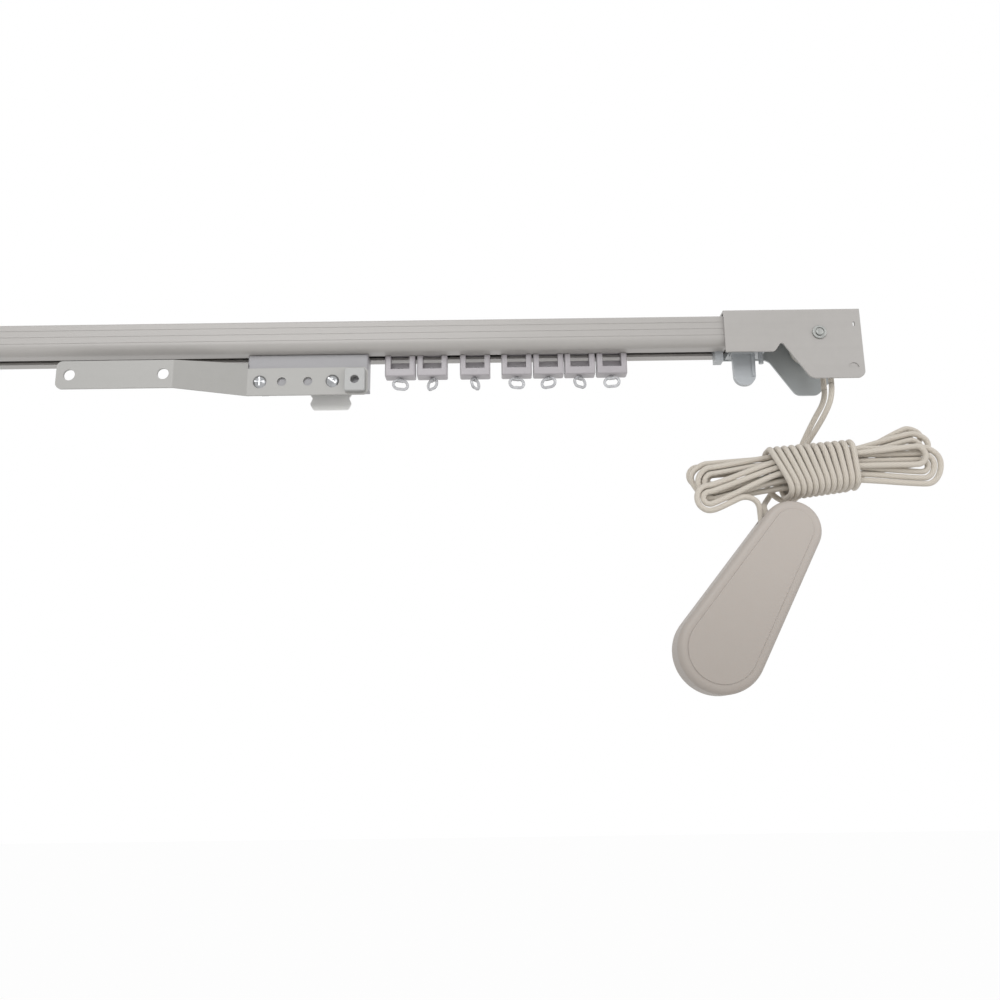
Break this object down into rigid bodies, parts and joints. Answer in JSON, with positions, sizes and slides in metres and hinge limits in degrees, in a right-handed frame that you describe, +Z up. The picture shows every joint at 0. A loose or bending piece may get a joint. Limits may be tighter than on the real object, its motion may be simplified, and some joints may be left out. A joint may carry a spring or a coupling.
{
  "type": "corded curtain track",
  "caption": "Corded curtain track with cord housing, master carrier and overlap arm, gliders with swivel eyes, tied spare cord and cord weight.",
  "frame": {"origin": "in the rail's top face, half way between the two ceiling screws", "axes": "+X along the rail towards the cord housing, +Y to the wall, +Z up"},
  "size_m": [0.6368, 0.0388, 0.1904],
  "materials": {
    "white_enamel": "white stoving enamel, satin",
    "arm_enamel": "white enamel on steel strip",
    "zinc": "bright zinc plate",
    "chrome_screws": "polished",
    "white_nylon": "moulded white nylon",
    "grey_nylon": "cool white moulded nylon",
    "pulley_nylon": "natural acetal",
    "clear_eye": "translucent, glossy",
    "cord": "cream braided polyester",
    "weight_shell": "warm off-white, satin",
    "slug_steel": "bare steel"
  },
  "bodies": {
    "track": {"rail": "white_enamel", "drive_cover": "white_enamel", "drive_back_plate": "white_enamel", "drive_axle": "zinc", "pulley_washers": "zinc", "idler_cover": "white_enamel", "idler_back_plate": "white_enamel", "idler_axle": "zinc", "end_hook_tab": "grey_nylon", "idler_block": "grey_nylon", "housing_screws": "zinc", "end_stops": "grey_nylon", "draw_cord": "cord", "cord_a_drop": "cord", "cord_b": "cord", "cord_a_tail": "cord", "hank_loops": "cord", "hank_wrap": "cord", "weight_front_shell": "weight_shell", "weight_rear_shell": "weight_shell", "weight_slug": "slug_steel", "weight_pin": "zinc", "weight_screw": "chrome_screws", "cord_in_weight": "cord"},
    "master_carrier": {"carrier_block": "white_nylon", "cord_grip": "white_nylon", "overlap_arm": "arm_enamel", "carrier_boss": "white_nylon", "lower_tab": "arm_enamel", "carrier_screws": "chrome_screws", "carrier_nuts": "chrome_screws"},
    "glider_1_body": {"glider_1": "white_nylon"},
    "eye_1_body": {"glider_eye_1": "clear_eye"},
    "glider_2_body": {"glider_2": "white_nylon"},
    "eye_2_body": {"glider_eye_2": "clear_eye"},
    "glider_3_body": {"glider_3": "white_nylon"},
    "eye_3_body": {"glider_eye_3": "clear_eye"},
    "glider_4_body": {"glider_4": "white_nylon"},
    "eye_4_body": {"glider_eye_4": "clear_eye"},
    "glider_5_body": {"glider_5": "white_nylon"},
    "eye_5_body": {"glider_eye_5": "clear_eye"},
    "glider_6_body": {"glider_6": "white_nylon"},
    "eye_6_body": {"glider_eye_6": "clear_eye"},
    "glider_7_body": {"glider_7": "white_nylon"},
    "eye_7_body": {"glider_eye_7": "clear_eye"},
    "drive_pulley_front_body": {"drive_pulley_front": "pulley_nylon"},
    "drive_pulley_rear_body": {"drive_pulley_rear": "pulley_nylon"},
    "idler_pulley_body": {"idler_pulley": "pulley_nylon"},
    "weight_roller_body": {"weight_roller": "pulley_nylon"}
  },
  "joints": [
    {"name": "draw", "type": "slide", "parent": "track", "child": "master_carrier", "axis": [-1, 0, 0], "range_m": [0, 0.2]},
    {"name": "glider_1_slide", "type": "slide", "parent": "track", "child": "glider_1_body", "axis": [-1, 0, 0], "range_m": [0, 0.175]},
    {"name": "eye_1_swivel", "type": "hinge", "parent": "glider_1_body", "child": "eye_1_body", "pos_m": [0.0684, 0, -0.024], "axis": [0, 0, 1], "continuous": true},
    {"name": "glider_2_slide", "type": "slide", "parent": "track", "child": "glider_2_body", "axis": [-1, 0, 0], "range_m": [0, 0.15]},
    {"name": "eye_2_swivel", "type": "hinge", "parent": "glider_2_body", "child": "eye_2_body", "pos_m": [0.0846, 0, -0.024], "axis": [0, 0, 1], "continuous": true},
    {"name": "glider_3_slide", "type": "slide", "parent": "track", "child": "glider_3_body", "axis": [-1, 0, 0], "range_m": [0, 0.125]},
    {"name": "eye_3_swivel", "type": "hinge", "parent": "glider_3_body", "child": "eye_3_body", "pos_m": [0.1063, 0, -0.024], "axis": [0, 0, 1], "continuous": true},
    {"name": "glider_4_slide", "type": "slide", "parent": "track", "child": "glider_4_body", "axis": [-1, 0, 0], "range_m": [0, 0.1]},
    {"name": "eye_4_swivel", "type": "hinge", "parent": "glider_4_body", "child": "eye_4_body", "pos_m": [0.1273, 0, -0.024], "axis": [0, 0, 1], "continuous": true},
    {"name": "glider_5_slide", "type": "slide", "parent": "track", "child": "glider_5_body", "axis": [-1, 0, 0], "range_m": [0, 0.075]},
    {"name": "eye_5_swivel", "type": "hinge", "parent": "glider_5_body", "child": "eye_5_body", "pos_m": [0.1434, 0, -0.024], "axis": [0, 0, 1], "continuous": true},
    {"name": "glider_6_slide", "type": "slide", "parent": "track", "child": "glider_6_body", "axis": [-1, 0, 0], "range_m": [0, 0.05]},
    {"name": "eye_6_swivel", "type": "hinge", "parent": "glider_6_body", "child": "eye_6_body", "pos_m": [0.1593, 0, -0.024], "axis": [0, 0, 1], "continuous": true},
    {"name": "glider_7_slide", "type": "slide", "parent": "track", "child": "glider_7_body", "axis": [-1, 0, 0], "range_m": [0, 0.025]},
    {"name": "eye_7_swivel", "type": "hinge", "parent": "glider_7_body", "child": "eye_7_body", "pos_m": [0.1755, 0, -0.024], "axis": [0, 0, 1], "continuous": true},
    {"name": "drive_pulley_front_spin", "type": "hinge", "parent": "track", "child": "drive_pulley_front_body", "pos_m": [0.278, -0.0055, -0.0103], "axis": [0, 1, 0], "continuous": true},
    {"name": "drive_pulley_rear_spin", "type": "hinge", "parent": "track", "child": "drive_pulley_rear_body", "pos_m": [0.278, 0.0055, -0.0103], "axis": [0, 1, 0], "continuous": true},
    {"name": "idler_pulley_spin", "type": "hinge", "parent": "track", "child": "idler_pulley_body", "pos_m": [-0.262, 0, -0.0038], "axis": [0, 0, 1], "continuous": true},
    {"name": "weight_roller_spin", "type": "hinge", "parent": "track", "child": "weight_roller_body", "pos_m": [0.24676, -0.0015, -0.12588], "axis": [0, 1, 0], "continuous": true}
  ],
  "couplings": [
    {"joint": "glider_1_slide", "follows": "draw", "ratio": 0.875},
    {"joint": "glider_2_slide", "follows": "draw", "ratio": 0.75},
    {"joint": "glider_3_slide", "follows": "draw", "ratio": 0.625},
    {"joint": "glider_4_slide", "follows": "draw", "ratio": 0.5},
    {"joint": "glider_5_slide", "follows": "draw", "ratio": 0.375},
    {"joint": "glider_6_slide", "follows": "draw", "ratio": 0.25},
    {"joint": "glider_7_slide", "follows": "draw", "ratio": 0.125},
    {"joint": "drive_pulley_front_spin", "follows": "draw", "rad_per_m": -153.85},
    {"joint": "drive_pulley_rear_spin", "follows": "draw", "rad_per_m": 153.85},
    {"joint": "idler_pulley_spin", "follows": "draw", "rad_per_m": -181.82},
    {"joint": "weight_roller_spin", "follows": "draw", "rad_per_m": 200}
  ]
}
